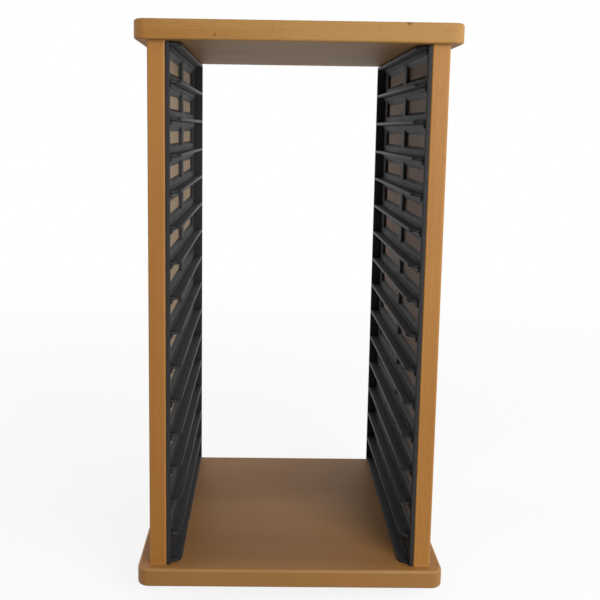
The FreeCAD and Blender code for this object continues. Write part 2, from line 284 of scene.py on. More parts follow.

# %% [markdown]
# ## Honey-stained beech
#
# Beech has a quiet figure: faint growth rings, short dark flecks a few millimetres long where the
# rays were cut, and fine fibres along the board. A honey stain and a satin varnish even it out, and
# the eased edges are paler where sanding took the stain off. The sides' inner faces, which only show
# through the racks' windows, were left bare: pale on the left board, pinker and darker on the right,
# where the darker tone is painted shade. Some boards also get paler along the grain towards where
# the light comes from, which is painted light.
# The pattern could be painted on a flat picture, but a pattern in space shows arcs and dots on a
# board's ends by itself, as real wood does. Each board is a cut from a log of its own, so the log's
# heart lies elsewhere for each.

# %% Distance from an edge
sanded_reach, sanded_full = 1.7, 0.3


def edge_distance(tree, place, low, high):
    """How far a point of a box's surface is from its nearest edge.

    d = half size - |point - centre| has one part near zero on a face and two on an edge, so the
    distance is the least of max(dx, dy), max(dy, dz) and max(dz, dx).
    """
    centre, half = (low + high) / 2, (high - low) / 2
    offset = add(tree, "ShaderNodeVectorMath", {0: place, 1: centre}, operation="SUBTRACT")
    size = add(tree, "ShaderNodeVectorMath", {0: offset.outputs[0]}, operation="ABSOLUTE")
    room = add(tree, "ShaderNodeVectorMath", {0: half, 1: size.outputs[0]}, operation="SUBTRACT")
    d = add(tree, "ShaderNodeSeparateXYZ", {0: room.outputs[0]}).outputs
    pairs = [add(tree, "ShaderNodeMath", {0: d[a], 1: d[b]}, operation="MAXIMUM").outputs[0]
             for a, b in ((0, 1), (1, 2), (2, 0))]
    least = add(tree, "ShaderNodeMath", {0: pairs[0], 1: pairs[1]}, operation="MINIMUM").outputs[0]
    return add(tree, "ShaderNodeMath", {0: least, 1: pairs[2]}, operation="MINIMUM").outputs[0]


print("edges are sanded paler up to", sanded_reach, "mm in")

# %% Beech figure
# sizes across and along the grain in mm; the fibres are drawn coarser than real ones, so that they
# show, and a fleck fills about two fifths of its cell each way
figure_mm = {"broad": (40, 180), "fibre": (0.6, 26), "fleck": (1.8, 6), "sanding": (5, 14)}
ring_spacing, wave_period = 5.5, 0.314
fleck_rim, fleck_core, fleck_rarity = 0.26, 0.12, 0.45
tone_floor, broad_share, ring_share, fibre_share = 0.02, 0.8, 0.08, 0.18


def beech_figure(tree, log):
    """Outputs of a log's tone (0 to 1), fibres, ray flecks and sanding, with the grain along Z.

    One unit of each pattern is scaled to its size in mm. A wave of scale 1 repeats after its own
    period, so the rings' scale is that period over their spacing, and they bend slowly along Z.
    The tone is its floor plus the broad change, the rings and the fibres, each times its share. A
    fleck fades from its core to its rim, in those cells whose random value is above the rarity.
    """
    scaled = {}
    for pattern, (across, along) in figure_mm.items():
        scale = (1 / (across * MM), 1 / (across * MM), 1 / (along * MM))
        scaled[pattern] = add(tree, "ShaderNodeMapping", {"Vector": log, "Scale": scale}).outputs[0]
    broad = add(tree, "ShaderNodeTexNoise", {"Vector": scaled["broad"], "Scale": 1.0, "Detail": 2.0})
    fibre = add(tree, "ShaderNodeTexNoise", {"Vector": scaled["fibre"], "Scale": 1.0, "Detail": 3.0,
                                             "Roughness": 0.6})
    sanding = add(tree, "ShaderNodeTexNoise", {"Vector": scaled["sanding"], "Scale": 1.0})
    slow = add(tree, "ShaderNodeMapping", {"Vector": log, "Scale": (1, 1, 0.1)})
    rings = add(tree, "ShaderNodeTexWave",
                {"Vector": slow.outputs[0], "Scale": wave_period / (ring_spacing * MM),
                 "Distortion": 2.5, "Detail": 1.0, "Detail Scale": 0.6},
                wave_type="RINGS", rings_direction="Z", wave_profile="SAW")
    cell = add(tree, "ShaderNodeTexVoronoi", {"Vector": scaled["fleck"], "Scale": 1.0})
    spot = add(tree, "ShaderNodeMapRange", {"Value": cell.outputs["Distance"], "From Min": fleck_rim,
                                            "From Max": fleck_core})
    some = add(tree, "ShaderNodeMath", {0: cell.outputs["Color"], 1: fleck_rarity},
               operation="GREATER_THAN")
    fleck = add(tree, "ShaderNodeMath", {0: spot.outputs[0], 1: some.outputs[0]}, operation="MULTIPLY")
    tone = tone_floor
    patterns = ((broad.outputs[0], broad_share), (rings.outputs[1], ring_share),
                (fibre.outputs[0], fibre_share))
    for pattern, share in patterns:
        tone = add(tree, "ShaderNodeMath", {0: pattern, 1: share, 2: tone},
                   operation="MULTIPLY_ADD").outputs[0]
    return tone, fibre.outputs[0], fleck.outputs[0], sanding.outputs[0]


print("beech patterns in mm across and along:", figure_mm)

# %% Beech marks
fleck_strength, sanded_strength, knot_strength, knot_core = 0.3, 0.3, 0.7, 0.3


def beech_marks(tree, place, box, fleck, sanding, knots):
    """What lies over the stain, as (share of the surface, colour): flecks, sanded edges and knots.

    An edge is sanded by its nearness times the sanding pattern, so unevenly. A knot is darkest in
    its core and fades out to its radius.
    """
    flecks = add(tree, "ShaderNodeMath", {0: fleck, 1: fleck_strength}, operation="MULTIPLY")
    rim = edge_distance(tree, place, *box)
    near_edge = add(tree, "ShaderNodeMapRange", {"Value": rim, "From Min": sanded_reach * MM,
                                                 "From Max": sanded_full * MM,
                                                 "To Max": sanded_strength})
    sanded = add(tree, "ShaderNodeMath", {0: near_edge.outputs[0], 1: sanding}, operation="MULTIPLY")
    marks = [(flecks.outputs[0], colour("#7c4a20")), (sanded.outputs[0], colour("#d3a566"))]
    for centre, radius in knots:
        far = add(tree, "ShaderNodeVectorMath", {0: place, 1: Vector(centre) * MM},
                  operation="DISTANCE")
        knot = add(tree, "ShaderNodeMapRange", {"Value": far.outputs["Value"], "From Min": radius * MM,
                                                "From Max": knot_core * radius * MM,
                                                "To Max": knot_strength})
        marks.append((knot.outputs[0], colour("#5a3818")))
    return marks


print("flecks cover", fleck_strength, "and knots", knot_strength, "of the stain at most")

# %% Beech finish
bare_face_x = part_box("right_rack")[1][0] + 0.1 * MM
bare_dullness, place_along_log = 0.1, 0.31
wood_roughness = (0.50, 0.65)
ramp_places = (0.25, 0.55, 0.85)


def honey_beech(node, grain, heart, tones, sheen, painted_light_drift=0.0, knots=(), bare=None):
    """Satin-varnished beech: the fibres give the board its direction, the flecks show it is beech.

    grain is the board's long axis, heart is where the log's middle lies across it (mm), tones are
    its stain where the figure's tone is low, middling and high, sheen is its varnish's specular
    level, drift is how far that tone rises per metre along the grain, a painted light that makes the
    board paler towards where the light comes from, and knots are small dark marks as (place in mm,
    radius in mm). A side board is left bare and dull on the face behind its rack; bare are that
    face's two tones, which on the right board are darkened as painted shade.
    """
    material, tree, shader = finish("honey_beech_" + node, {"IOR": 1.5, "Specular IOR Level": sheen})
    place = add(tree, "ShaderNodeTexCoord").outputs["Object"]
    part = add(tree, "ShaderNodeSeparateXYZ", {0: place}).outputs
    turn = (0, -math.pi / 2, 0) if grain == "X" else (0, 0, 0)
    shift = (heart[0] * MM, heart[1] * MM, place_along_log * heart[0] * MM)
    log = add(tree, "ShaderNodeMapping", {"Vector": place, "Rotation": turn, "Location": shift})
    tone, fibre, fleck, sanding = beech_figure(tree, log.outputs[0])
    # painted light: the tone rises along the grain towards where the light comes from
    tone = add(tree, "ShaderNodeMath", {0: part[grain], 1: painted_light_drift, 2: tone}, operation="MULTIPLY_ADD")
    stain = add(tree, "ShaderNodeValToRGB", {0: tone.outputs[0]})
    ramp = stain.color_ramp.elements
    ramp[0].position, ramp[0].color = ramp_places[0], colour(tones[0])
    ramp[1].position, ramp[1].color = ramp_places[2], colour(tones[2])
    ramp.new(ramp_places[1]).color = colour(tones[1])
    layers = beech_marks(tree, place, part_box(node), fleck, sanding, knots)
    gloss = add(tree, "ShaderNodeMapRange", {"Value": fibre, "To Min": wood_roughness[0],
                                             "To Max": wood_roughness[1]})
    if bare:
        inner = add(tree, "ShaderNodeMath", {0: part["X"]}, operation="ABSOLUTE")
        unstained = add(tree, "ShaderNodeMath", {0: inner.outputs[0], 1: bare_face_x},
                        operation="LESS_THAN")
        # on the right board the bare tones are darker: painted shade of its inner face behind the rack
        raw = add(tree, "ShaderNodeMix", {"Factor": fibre, "A": colour(bare[0]), "B": colour(bare[1])},
                  data_type="RGBA")
        layers.append((unstained.outputs[0], raw.outputs["Result"]))
        gloss = add(tree, "ShaderNodeMath", {0: unstained.outputs[0], 1: bare_dullness,
                                             2: gloss.outputs[0]}, operation="MULTIPLY_ADD")
    wood = stain.outputs[0]
    for share, tint in layers:
        wood = add(tree, "ShaderNodeMix", {"Factor": share, "A": wood, "B": tint},
                   data_type="RGBA").outputs["Result"]
    height = add(tree, "ShaderNodeMath", {0: fibre, 1: fleck}, operation="SUBTRACT")
    dress(tree, shader, wood, gloss.outputs[0], height.outputs[0], strength=0.25, depth=0.05)
    return material


print("side boards are bare within", round(bare_face_x / MM, 1), "mm of the middle")

# %% Boards
boards = {
    # painted light: drift makes the top paler towards its right end and the left side paler towards its
    # top
    "top_panel": {"grain": "X", "heart": (310, 95), "tones": ("#a16622", "#ac8147", "#a87c41"),
                  "sheen": 0.24, "painted_light_drift": 2.0,
                  "knots": [((53.0, -77.2, 301.6), 2.0), ((-41.0, -77.5, 294.5), 1.0)]},
    "base_panel": {"grain": "X", "heart": (40, -150), "tones": ("#885927", "#976831", "#a4753d"),
                   "sheen": 0.5},
    "left_side_panel": {"grain": "Z", "heart": (150, 60), "tones": ("#945e27", "#a26b2c", "#af7839"),
                        "sheen": 0.33, "painted_light_drift": 1.1, "bare": ("#a0876b", "#b99f82")},
    # painted shade: the right board's bare tones are darker for the shade on its inner face
    "right_side_panel": {"grain": "Z", "heart": (-190, 110), "tones": ("#98642a", "#a67132", "#b37f42"),
                         "sheen": 0.33, "bare": ("#8f7667", "#a68b7c")},
}
for node, look in boards.items():
    nodes[node].material_slots[0].material = honey_beech(node, **look)
print("beech boards:", sorted(boards))

# %% [markdown]
# ## Black moulded plastic
#
# The racks are injection-moulded ABS. The steel mould was spark-eroded, so the plastic has a fine
# even grain that breaks up reflections, and its corners are rounded, so that the melt fills the mould.
# A flat black would swallow the ribs, so the finish keeps a low sheen and a faint grey bloom, and the
# tips of the ribs are rubbed shinier where the cases slide. Their paler grey line is partly that wear
# and partly a painted highlight along the tips.

# %% Plastic finish
rib_low, rib_high = (np.array(corner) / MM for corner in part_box("right_rack_ribs"))
flange_thickness = 2.0
tip_x, nose_y, flange_y = rib_low[0], rib_low[1], rib_high[1] - flange_thickness
# where the rib tips turn paler: partly wear from the cases, partly a painted highlight
wear_and_highlight_full, wear_and_highlight_reach, most_wear_and_highlight_y, flange_gap = 0.1, 0.45, 40, 0.1
abs_roughness, rubbed_roughness = (0.56, 0.70), 0.44


def moulded_abs():
    """Black ABS: the grain dulls the broad faces, and tips rubbed by the cases shine as thin lines.

    Rubbed are the last parts of a millimetre of each rib's tip, more towards the back, but not the
    flange behind it, and scratches 3 mm long break the line up. The paler grey of these lines is only
    partly that wear: the rest is a painted highlight along the tips.
    """
    material, tree, shader = finish("moulded_black_abs", {"IOR": 1.53, "Specular IOR Level": 0.3})
    place = add(tree, "ShaderNodeTexCoord").outputs["Object"]
    part = add(tree, "ShaderNodeSeparateXYZ", {0: place}).outputs
    inner = add(tree, "ShaderNodeMath", {0: part["X"]}, operation="ABSOLUTE")
    near = add(tree, "ShaderNodeMapRange", {"Value": inner.outputs[0],
                                            "From Min": (tip_x + wear_and_highlight_reach) * MM,
                                            "From Max": (tip_x + wear_and_highlight_full) * MM})
    along = add(tree, "ShaderNodeMapRange", {"Value": part["Y"], "From Min": nose_y * MM,
                                             "From Max": most_wear_and_highlight_y * MM, "To Min": 0.3})
    on_rib = add(tree, "ShaderNodeMath", {0: part["Y"], 1: (flange_y - flange_gap) * MM},
                 operation="LESS_THAN")
    scratch = add(tree, "ShaderNodeTexNoise", {"Vector": place, "Scale": 1 / (3 * MM)})
    wear_and_highlight = near
    for share in (along, on_rib, scratch):
        wear_and_highlight = add(tree, "ShaderNodeMath", {0: wear_and_highlight.outputs[0], 1: share.outputs[0]},
                  operation="MULTIPLY")
    # spark-eroded grain is about 0.1 mm; 0.5 mm is the finest that shows here
    grain = add(tree, "ShaderNodeTexNoise", {"Vector": place, "Scale": 1 / (0.5 * MM), "Detail": 2.0})
    bloom = add(tree, "ShaderNodeTexNoise", {"Vector": place, "Scale": 1 / (22 * MM), "Detail": 3.0})
    tint = add(tree, "ShaderNodeMix", {"Factor": bloom.outputs[0], "A": colour("#1a191a"),
                                       "B": colour("#252324")}, data_type="RGBA")
    # painted highlight and wear: the rib tips are mixed towards a paler grey
    tint = add(tree, "ShaderNodeMix", {"Factor": wear_and_highlight.outputs[0], "A": tint.outputs["Result"],
                                       "B": colour("#444345")}, data_type="RGBA")
    gloss = add(tree, "ShaderNodeMapRange", {"Value": bloom.outputs[0], "To Min": abs_roughness[0],
                                             "To Max": abs_roughness[1]})
    gloss = add(tree, "ShaderNodeMix", {"Factor": wear_and_highlight.outputs[0], "A": gloss.outputs[0],
                                        "B": rubbed_roughness})
    dress(tree, shader, tint.outputs["Result"], gloss.outputs[0], grain.outputs[0],
          strength=0.2, depth=0.03)
    return material


black_abs = moulded_abs()
print("finish:", black_abs.name, "rubbed up to", round(float(tip_x + wear_and_highlight_reach), 2), "mm")

# %% [markdown]
# ## Metal, nylon, rubber and plain beech
#
# The swivel is pressed from zinc-plated sheet: bright, but clouded by the plating bath. Its balls are
# ground steel in a ring of natural nylon, the feet are black rubber, the racks' screws are blackened
# and the dowels are plain beech. These finishes differ in numbers more than in kind, so one function
# makes them: a cloudy mix of two tones, a range of roughness and a fine bump.

# %% Small finishes
def clouded(name, tones, roughness, cloud, grain, depth, fixed):
    """Two tones clouded together (cloud in mm), with a fine bump (grain and depth in mm)."""
    material, tree, shader = finish(name, fixed)
    place = add(tree, "ShaderNodeTexCoord").outputs["Object"]
    patch = add(tree, "ShaderNodeTexNoise", {"Vector": place, "Scale": 1 / (cloud * MM), "Detail": 4.0})
    tint = add(tree, "ShaderNodeMix", {"Factor": patch.outputs[0], "A": colour(tones[0]),
                                       "B": colour(tones[1])}, data_type="RGBA")
    gloss = add(tree, "ShaderNodeMapRange", {"Value": patch.outputs[0], "To Min": roughness[0],
                                             "To Max": roughness[1]})
    fine = add(tree, "ShaderNodeTexNoise", {"Vector": place, "Scale": 1 / (grain * MM)})
    dress(tree, shader, tint.outputs["Result"], gloss.outputs[0], fine.outputs[0],
          strength=0.3, depth=depth)
    return material


metal = {"Metallic": 1.0}
# plated sheet: broad bright clouds, softly blurred
zinc_plate = clouded("zinc_plated_sheet", ("#a9acae", "#c6c8c6"), (0.26, 0.42), 9, 0.8, 0.01, metal)
# plated screws: small clouds with a warm cast
zinc_screw = clouded("zinc_plated_screw", ("#a8a89f", "#c9c7b8"), (0.22, 0.38), 3, 0.4, 0.01, metal)
# blackened screws: dark and dull, so that they vanish in the racks
black_screw = clouded("blackened_screw", ("#1f1f20", "#2e2d2c"), (0.48, 0.64), 2, 0.4, 0.01, metal)
# ground balls: nearly a mirror
ball_steel = clouded("ground_bearing_steel", ("#c4c6c8", "#d6d8da"), (0.06, 0.12), 4, 1.0, 0.002, metal)
# natural nylon: creamy, with a waxy sheen
nylon = clouded("natural_nylon", ("#d6d0bd", "#e2ddcd"), (0.38, 0.52), 6, 0.6, 0.01, {"IOR": 1.53})
# rubber: the dullest black of the tower
rubber = clouded("black_rubber", ("#1b1a19", "#272625"), (0.65, 0.85), 5, 0.5, 0.03, {"IOR": 1.52})
# turned dowels: pale raw wood
beech_dowel = clouded("plain_beech_dowel", ("#c39c68", "#d8b887"), (0.5, 0.7), 2, 0.6, 0.03, {})
carried = {
    "swivel_upper_plate": zinc_plate, "swivel_lower_plate": zinc_plate, "swivel_rivet": zinc_plate,
    "ball_cage": nylon, "bearing_balls": ball_steel,
    "left_top_dowels": beech_dowel, "right_top_dowels": beech_dowel,
}
for node, look in carried.items():
    nodes[node].material_slots[0].material = look
print("solids kept with a finish:", len(boards) + len(carried))

# %% [markdown]
# ## From arrays to a piece
#
# A surface is a grid of points: one direction follows a profile, the other a path. Some pieces are
# several closed shells in one moulding, so a piece is a list of such grids. The helper joins them,
# merges the points that meet at seams and poles, turns every face outwards, and keeps edges crisp
# only where faces meet at a clear angle.

# %% Shells
def shells(points, caps=False):
    """Points and face arrays of a stack of grids (copies, rows, columns, 3).

    Each copy's faces are the first one's, moved on by a grid's count of points; caps close the ends.
    """
    copies, rows, columns = points.shape[:3]
    start = np.arange(copies)[:, None] * rows * columns
    faces = [(grid_faces(rows, columns).reshape(1, -1) + start).reshape(-1, 4)]
    if caps:
        ring = np.arange(columns)
        faces += [start + ring[::-1], start + (rows - 1) * columns + ring]
    return points.reshape(-1, 3), faces


tube_faces = shells(np.zeros((1, 2, 6, 3)), caps=True)[1]
print("a six-sided bar has", sum(len(group) for group in tube_faces), "faces")

# %% Piece helper
merge_distance, crisp_angle = 0.002 * MM, math.radians(35)


def piece(name, parts, material, body, replaced):
    """One object from several (points in mm, face arrays) parts, on a body, in place of some nodes."""
    starts = np.cumsum([0] + [len(points) for points, _ in parts])
    faces = []
    for start, (_, groups) in zip(starts, parts):
        for group in groups:
            faces += (group + start).tolist()
    mesh = bpy.data.meshes.new(name)
    mesh.from_pydata(np.concatenate([points for points, _ in parts]) * MM, [], faces)
    shape = bmesh.new()
    shape.from_mesh(mesh)
    bmesh.ops.remove_doubles(shape, verts=shape.verts, dist=merge_distance)
    bmesh.ops.dissolve_degenerate(shape, edges=shape.edges, dist=merge_distance)
    bmesh.ops.recalc_face_normals(shape, faces=shape.faces)
    shape.to_mesh(mesh)
    shape.free()
    mesh.shade_smooth()
    mesh.set_sharp_from_angle(angle=crisp_angle)
    mesh.materials.append(material)
    made = bpy.data.objects.new(name, mesh)
    bpy.context.collection.objects.link(made)
    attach(made, body)
    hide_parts(*replaced)
    corner_edges = np.empty(len(mesh.loops), dtype=np.int32)
    mesh.loops.foreach_get("edge_index", corner_edges)
    open_edges = np.count_nonzero(np.bincount(corner_edges, minlength=len(mesh.edges)) < 2)
    print(name, "faces:", len(mesh.polygons), "open edges:", open_edges)


print("points closer than", merge_distance / MM, "mm are merged")

# %% [markdown]
# ## The racks
#
# Each rack is one moulding: a thin plate with two windows in every slot, a rib under every slot, a
# small step that backs each rib, a foot rib and a flange at the back that stops the cases. The solid
# has sharp corners, which never catch the light. Here every outer corner is rounded as a moulding's
# is. A Bevel modifier would do that too, but it stops at the narrow rib noses, so the rounding is
# part of each profile instead. The right rack is worked out in millimetres and mirrored for the left.

# %% Rack sizes
plate_low, plate_high = (np.array(corner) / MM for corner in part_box("right_rack"))
step_x, front_y, foot_z = plate_low
board_x, back_y, rack_top_z = plate_high
face_x = rib_high[0]
rib_reach, plate_thickness = face_x - tip_x, board_x - face_x
# the solid model's own sizes, which its boxes don't tell
slot_count, slot_pitch = 14, 18.2
rib_tops = rack_top_z - slot_pitch * np.arange(slot_count + 1)
slot_floors = rib_tops[1:]
overlap = 0.5
print("rack plate face at", round(float(face_x), 2), "mm, rib reach", round(float(rib_reach), 2), "mm")

# %% [markdown]
# ## Ribs
#
# A rib carries one edge of a case. Its nose is a quarter circle, so that a case finds its way in, and
# it is thicker at the root than at the tip, so that the moulding leaves its mould. It could be a box
# with its corners cut, but one section carried round the nose and straight back gives the nose and
# the rounded tip together.

# %% Rib profile
tip_thickness, root_thickness = 1.6, 2.2
root_fillet, tip_round, foot_round = 0.5, 0.35, 0.05


def arc(centre, radius, start, end, steps=4):
    """Points on a circle about a centre, from one angle to another in degrees."""
    angle = np.radians(np.linspace(start, end, steps))
    return np.stack([centre[0] + radius * np.cos(angle), centre[1] + radius * np.sin(angle)], axis=-1)


def rib_profile(root, under):
    """Section of a rib as (distance in from the tip, height): fillet, top, rounded tip, underside.

    root is the thickness at the plate, and under is the radius of the tip's lower corner.
    """
    draft = math.degrees(math.atan2(root - tip_thickness, rib_reach))
    return np.concatenate([
        arc((rib_reach - root_fillet, root_fillet), root_fillet, 0, -90),
        arc((tip_round, -tip_round), tip_round, 90, 180),
        arc((under, under - tip_thickness), under, 180, 270 - draft),
        [(rib_reach, -root)],
    ])


case_profile = rib_profile(root_thickness, tip_round)
foot_profile = rib_profile(tip_thickness, foot_round)
print("points of a rib's section:", len(case_profile))

# %% Rib path
nose_steps = 12


def rib_shell(profile):
    """Profile carried round the quarter-circle nose and straight back into the flange.

    A point at distance a in from the tip and height h is tip(t) + a * inward(t), with h upwards.
    """
    turn = np.radians(np.linspace(-90, -180, nose_steps))
    outward = np.stack([np.cos(turn), np.sin(turn)], axis=-1)
    centre = np.array([face_x, nose_y + rib_reach])
    tip = np.concatenate([centre + rib_reach * outward, [(tip_x, flange_y + overlap)]])
    inward = np.concatenate([-outward, [(1.0, 0.0)]])
    flat = tip[:, None] + inward[:, None] * profile[None, :, :1]
    height = np.broadcast_to(profile[None, :, 1:], flat.shape[:2] + (1,))
    return np.concatenate([flat, height], axis=-1)


def raised(levels):
    """Shifts straight up to each level, shaped to make one grid a stack of copies."""
    return np.reshape(levels, (-1, 1, 1, 1)) * [0.0, 0.0, 1.0]


case_ribs = rib_shell(case_profile) + raised(rib_tops)
foot_rib = rib_shell(foot_profile) + raised(foot_z + tip_thickness)
print("ribs:", len(case_ribs), "with", case_ribs.shape[1:3], "points each, and a foot rib")

# %% [markdown]
# ## The plate and its windows
#
# The plate is open behind every slot, so that the side board shows through. The windows could be cut
# with a Boolean modifier, but that leaves long thin faces and no rounded rim. So the plate is laid out
# in cells, one for each window. A cell's grid starts at its rim on the back, comes through the
# window's wall to the front and ends at its rim there. Cells share their corners, and merge into one
# plate. Three cells of the bar between the windows have a screw hole instead.

# %% Window sizes
plate_ease = 0.4
round_over = np.radians(np.linspace(0, 90, 4))
window_margin, front_length, window_bar, back_length = 4.0, 60.5, 9.0, 65.0
front_window = front_y + window_margin + np.array([0.0, front_length])
back_window = front_window[1] + window_bar + np.array([0.0, back_length])
window_low, window_high, window_slope, window_corner = 3.1, 11.1, 2.9, 1.2
sill_slope, top_rounding = 1.6, 0.2
bar_inset = 0.8
bar_y = np.array([front_window[1] + bar_inset, back_window[0] - bar_inset])
column_edges = np.array([front_y + plate_ease, *bar_y, back_y - plate_ease])
rack_shank, rack_head, hole_room = 1.4, 2.8, 0.1
screw_slots = [1, slot_count // 2, slot_count - 2]
rack_screw_y = front_window[1] + window_bar / 2
rack_screw_z = (window_low + window_high) / 2
print("windows from front to back in mm:", front_window.round(2), back_window.round(2))


# %% Outlines
def rounded_rectangle(y, z, radius, steps=5):
    """Outline of a rectangle: four quarter circles, each about its own corner's centre."""
    angle = np.linspace(0, np.pi / 2, steps) + np.arange(4)[:, None] * np.pi / 2
    centre_y = np.array([y[1] - radius, y[0] + radius, y[0] + radius, y[1] - radius])
    centre_z = np.array([z[1] - radius, z[1] - radius, z[0] + radius, z[0] + radius])
    outline = [centre_y[:, None] + radius * np.cos(angle), centre_z[:, None] + radius * np.sin(angle)]
    return np.stack(outline, axis=-1).reshape(-1, 2)


def at_depth(outline, x):
    """Outline points (y, z) stood up at one depth x."""
    return np.concatenate([np.full((len(outline), 1), x), outline], axis=1)


window_outline = rounded_rectangle(front_window, (window_low, window_high), window_corner)
print("points of a window's outline:", len(window_outline))


# %% Rows through windows and holes
def window_rows(window):
    """Rows through a window whose top slopes up towards the slot, with a rounded front edge.

    A row at depth d below the face has its top at high + slope * (1 - d / thickness) and its sill
    at low + sill slope * d / thickness, both as the mould's draft leaves them, and the round-over
    widens it by e (1 - cos a) at the depth e (1 - sin a), less so at the top.
    """
    spread = [(0, plate_thickness)]
    spread += [(plate_ease * (1 - math.cos(a)), plate_ease * (1 - math.sin(a))) for a in round_over]
    rows = []
    for out, depth in spread:
        top = window_high + window_slope * (1 - depth / plate_thickness) + top_rounding * out
        sill = window_low + sill_slope * depth / plate_thickness - out
        wide = (window[0] - out, window[1] + out)
        rows.append((rounded_rectangle(wide, (sill, top), window_corner + out), depth))
    return rows


def screw_hole_rows():
    """Rows through a countersunk hole: a straight bore and a cone up to the head's width."""
    bore, mouth = rack_shank + hole_room, rack_head + hole_room
    return [(rounded_rectangle((rack_screw_y - r, rack_screw_y + r),
                               (rack_screw_z - r, rack_screw_z + r), r, 9), depth)
            for r, depth in ((bore, plate_thickness), (bore, rack_head - rack_shank), (mouth, 0.0))]


print("rows through a window:", len(window_rows(front_window)), "and a hole:", len(screw_hole_rows()))


# %% Pierced cells
def pierced_cell(column, openings):
    """One slot's cell of the plate: from its rim on the back, through an opening, to its front rim.

    openings are (outline, depth below the face), each as one row of the grid.
    """
    cell = rounded_rectangle(column, (0, slot_pitch), 0, len(openings[0][0]) // 4)
    rows = [at_depth(outline, face_x + depth) for outline, depth in openings]
    return np.stack([at_depth(cell, board_x), *rows, at_depth(cell, face_x)])


pierced = [pierced_cell(column_edges[:2], window_rows(front_window)) + raised(slot_floors),
           pierced_cell(column_edges[2:], window_rows(back_window)) + raised(slot_floors),
           pierced_cell(bar_y, screw_hole_rows()) + raised(slot_floors[screw_slots])]
print("pierced cells of the plate:", [len(cells) for cells in pierced])

# %% Plain cells and rim
# plain on both faces: the bar in slots without a screw, and the strip below the lowest slot
levels = np.concatenate([[foot_z], rib_tops[::-1]])
plain = [(bar_y, (rib_tops[s + 1], rib_tops[s])) for s in range(slot_count) if s not in screw_slots]
plain += [(column_edges[i:i + 2], levels[:2]) for i in range(3)]
plain_cells = np.stack([at_depth(rounded_rectangle(y, z, 0, 1), x)
                        for y, z in plain for x in (face_x, board_x)])
plain_faces = np.arange(4 * len(plain_cells)).reshape(-1, 4)

# outer rim: every corner of a cell on the way round, with the front and back edges rounded
first, bar_front, bar_back, last = column_edges
rim = np.concatenate([
    np.stack([np.full_like(levels, first), levels], axis=1),
    [(bar_front, levels[-1]), (bar_back, levels[-1])],
    np.stack([np.full_like(levels, last), levels[::-1]], axis=1),
    [(bar_back, levels[0]), (bar_front, levels[0])]])
outward = np.where(rim[:, :1] == first, -1.0, np.where(rim[:, :1] == last, 1.0, 0.0)) * [1.0, 0.0]
rim_rows = [at_depth(rim + outward * plate_ease * math.sin(a), face_x + plate_ease * (1 - math.cos(a)))
            for a in round_over]
rim_rows += [at_depth(rim + outward * plate_ease, board_x), at_depth(rim, board_x)]
print("plain faces:", len(plain_faces), "points round the rim:", len(rim))

# %% [markdown]
# ## Steps, flange and the whole rack
#
# A small step under each rib thickens the corner where the rib meets the plate, and the flange along
# the back edge stops the cases. Both are straight, so each is one section carried along one axis.
# They run half a millimetre into their neighbours, so that no gap shows where they meet.

# %% Steps, flange and both racks
step_top, step_low, step_round, step_setback = -2.0, -3.9, 0.25, 0.1


def bar(section, axis, start, end):
    """Closed bar: a section (two coordinates) carried straight along axis 1 (Y) or 2 (Z)."""
    return np.stack([np.insert(section, axis, at, axis=1) for at in (start, end)])[None]


step_section = np.concatenate([[(face_x + overlap, step_top), (step_x, step_top)],
                               arc((step_x + step_round, step_low + step_round), step_round, 180, 270),
                               [(face_x + overlap, step_low)]])
steps_under_ribs = bar(step_section, 1, nose_y + step_setback, flange_y + overlap) + raised(rib_tops)
flange_section = np.concatenate([[(face_x + overlap, flange_y)],
                                 arc((tip_x + plate_ease, flange_y + plate_ease), plate_ease, 270, 180),
                                 arc((tip_x + plate_ease, back_y - plate_ease), plate_ease, 180, 90),
                                 [(face_x + overlap, back_y)]])
flange = bar(flange_section, 2, foot_z, rack_top_z)

rack_parts = [shells(cells) for cells in pierced + [np.stack(rim_rows)[None]]]
rack_parts += [(plain_cells.reshape(-1, 3), [plain_faces])]
rack_parts += [shells(part, caps=True) for part in (case_ribs, foot_rib, steps_under_ribs, flange)]
sides = (("right", 1), ("left", -1))
for side, sign in sides:
    placed = [(points * [sign, 1, 1], faces) for points, faces in rack_parts]
    piece(side + "_rack_moulding", placed, black_abs, "tower",
          [side + "_rack", side + "_rack_ribs"])

# %% [markdown]
# ## Screws
#
# Three kinds of screw hold the tower together, all with a cross recess. A screw is a turned shape
# with two liberties: the recess presses the middle of the head in, and the thread swells the shank
# along a helix. Both are functions of the radius and angle, so a screw is one grid from the middle of
# its head to its point.

# %% Screw surface
thread_pitch, thread_depth = 1.3, 0.35
arm_slope, flank_slope, round_spokes = 2.5, 3.0, 48


def screw(outline, thread, recess):
    """Turned outline (radius, depth) with a cross recess and a thread.

    thread is the span of depth where the radius loses up to the thread's depth, as a zigzag of
    depth / pitch - angle / turn. recess gives how far an arm of the cross reaches, half its width,
    how deep it is, and the depth down to which points count as the head's face: of those, the ones
    that lie in either arm are pressed in.
    """
    grid = turned(outline, round_spokes)
    depth = grid[..., 2]
    radius = np.hypot(grid[..., 0], grid[..., 1])
    angle = np.linspace(0, 2 * np.pi, grid.shape[1] + 1)[:-1]
    phase = (depth / thread_pitch - angle / (2 * np.pi)) % 1
    threaded = (depth > thread[0]) & (depth < thread[1])
    radius = radius - np.where(threaded, thread_depth * np.abs(2 * phase - 1), 0)
    x, y = radius * np.cos(angle), radius * np.sin(angle)
    arm, half, deep, face = recess
    along = [np.clip(arm_slope * (1 - np.abs(side) / arm), 0, 1) for side in (x, y)]
    across = [np.clip(flank_slope * (1 - np.abs(side) / half), 0, 1) for side in (y, x)]
    sink = np.maximum(along[0] * across[0], along[1] * across[1])
    return np.stack([x, y, depth + np.where(depth <= face, deep * sink, 0)], axis=-1)


print("thread pitch", thread_pitch, "mm, depth", thread_depth, "mm")

